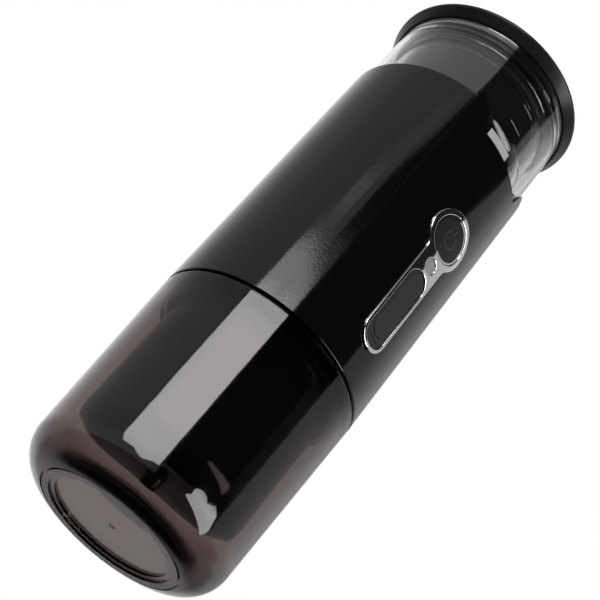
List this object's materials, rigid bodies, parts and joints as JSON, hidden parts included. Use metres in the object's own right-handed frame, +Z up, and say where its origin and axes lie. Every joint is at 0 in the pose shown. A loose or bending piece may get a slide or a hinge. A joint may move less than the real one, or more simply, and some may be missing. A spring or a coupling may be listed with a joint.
{
  "type": "portable espresso maker",
  "caption": "Hand-size battery espresso maker: clear water tank with lid on top, pump housing with control panel, smoked cup below with the brew chamber inside.",
  "frame": {"origin": "centre of the cup's foot, on the surface that it stands on", "axes": "+Z up along the axis of the round body, -Y towards the control panel"},
  "size_m": [0.0748, 0.0748, 0.2165],
  "materials": {
    "sleeve_black": "gloss black with a fine pebbled grain",
    "inner_black": "moulded black",
    "inner_grey": "moulded grey",
    "trim_chrome": "polished",
    "lens_clear": "clear moulded lens",
    "lamp_white": "white lamp body",
    "silicone_black": "soft matt silicone",
    "board_green": "green solder mask",
    "chip_black": "moulded component black",
    "socket_steel": "plated steel",
    "plate_steel": "stainless",
    "seal_rubber": "silicone seal",
    "cell_wrap": "shrink wrap",
    "contact_nickel": "nickel strip",
    "motor_steel": "zinc plated can",
    "pump_brass": "turned brass",
    "tube_silicone": "milky silicone",
    "screw_steel": "dark plated",
    "cup_smoke": "smoked clear plastic",
    "chamber_black": "gloss black",
    "tank_clear": "clear plastic",
    "lid_black": "matt black",
    "button_black": "matt black",
    "gear_white": "natural acetal"
  },
  "bodies": {
    "housing": {"housing_sleeve": "sleeve_black", "bottom_plate": "inner_black", "chassis": "inner_grey", "tank_collar": "inner_black", "panel_trim": "trim_chrome", "indicator_lens": "lens_clear", "indicator_lamp": "lamp_white", "plug_tether": "silicone_black", "panel_frame": "inner_black", "circuit_board": "board_green", "board_components": "chip_black", "charging_socket": "socket_steel", "button_switch": "socket_steel", "switch_tip": "chip_black", "brew_head": "inner_black", "needle_plate": "plate_steel", "head_seal": "seal_rubber", "battery_cell_left": "cell_wrap", "battery_cell_right": "cell_wrap", "cell_contacts": "contact_nickel", "pump_motor": "motor_steel", "gear_axle": "plate_steel", "pump_frame": "inner_grey", "pump_body": "pump_brass", "pump_plunger": "plate_steel", "plunger_spring": "plate_steel", "suction_tube": "tube_silicone", "pressure_tube": "tube_silicone", "bottom_screws": "screw_steel", "collar_screws": "screw_steel"},
    "cup": {"cup": "cup_smoke", "cup_seal": "seal_rubber"},
    "chamber": {"brew_chamber": "chamber_black", "pod_basket": "chamber_black", "outlet_screen": "plate_steel"},
    "tank_seal": {"spigot_seal": "seal_rubber"},
    "tank": {"water_tank": "tank_clear", "inlet_screen": "plate_steel"},
    "lid": {"tank_lid": "lid_black", "lid_gasket": "seal_rubber", "lid_vent": "silicone_black"},
    "button": {"power_button": "button_black", "button_rim": "trim_chrome"},
    "port_flap": {"port_plug": "silicone_black"},
    "drive": {"drive_gear": "gear_white"},
    "pinion": {"motor_pinion": "pump_brass", "motor_shaft": "plate_steel"}
  },
  "joints": [
    {"name": "housing_lift", "type": "slide", "parent": "cup", "child": "housing", "axis": [0, 0, 1], "range_m": [0, 0.065]},
    {"name": "chamber_turn", "type": "hinge", "parent": "housing", "child": "chamber", "pos_m": [0, 0, 0.07], "axis": [0, 0, -1], "range_deg": [0, 40]},
    {"name": "tank_lift", "type": "slide", "parent": "housing", "child": "tank_seal", "axis": [0, 0, 1], "range_m": [0, 0.03]},
    {"name": "tank_turn", "type": "hinge", "parent": "tank_seal", "child": "tank", "pos_m": [0, 0, 0.17], "axis": [0, 0, 1], "range_deg": [0, 25]},
    {"name": "lid_lift", "type": "slide", "parent": "tank", "child": "lid", "axis": [0, 0, 1], "range_m": [0, 0.06]},
    {"name": "button_press", "type": "slide", "parent": "housing", "child": "button", "axis": [0, 1, 0], "range_m": [0, 0.0008], "stiffness_N_per_m": 500, "springref_m": -0.001},
    {"name": "port_flap_open", "type": "hinge", "parent": "housing", "child": "port_flap", "pos_m": [0, -0.0368, 0.0867], "axis": [1, 0, 0], "range_deg": [0, 110]},
    {"name": "drive_spin", "type": "hinge", "parent": "housing", "child": "drive", "pos_m": [0.003, -0.008, 0.112], "axis": [0, 0, 1], "continuous": true},
    {"name": "pinion_spin", "type": "hinge", "parent": "housing", "child": "pinion", "pos_m": [-0.012, -0.008, 0.112], "axis": [0, 0, 1], "continuous": true}
  ],
  "couplings": [
    {"joint": "pinion_spin", "follows": "drive_spin", "ratio": -3}
  ]
}
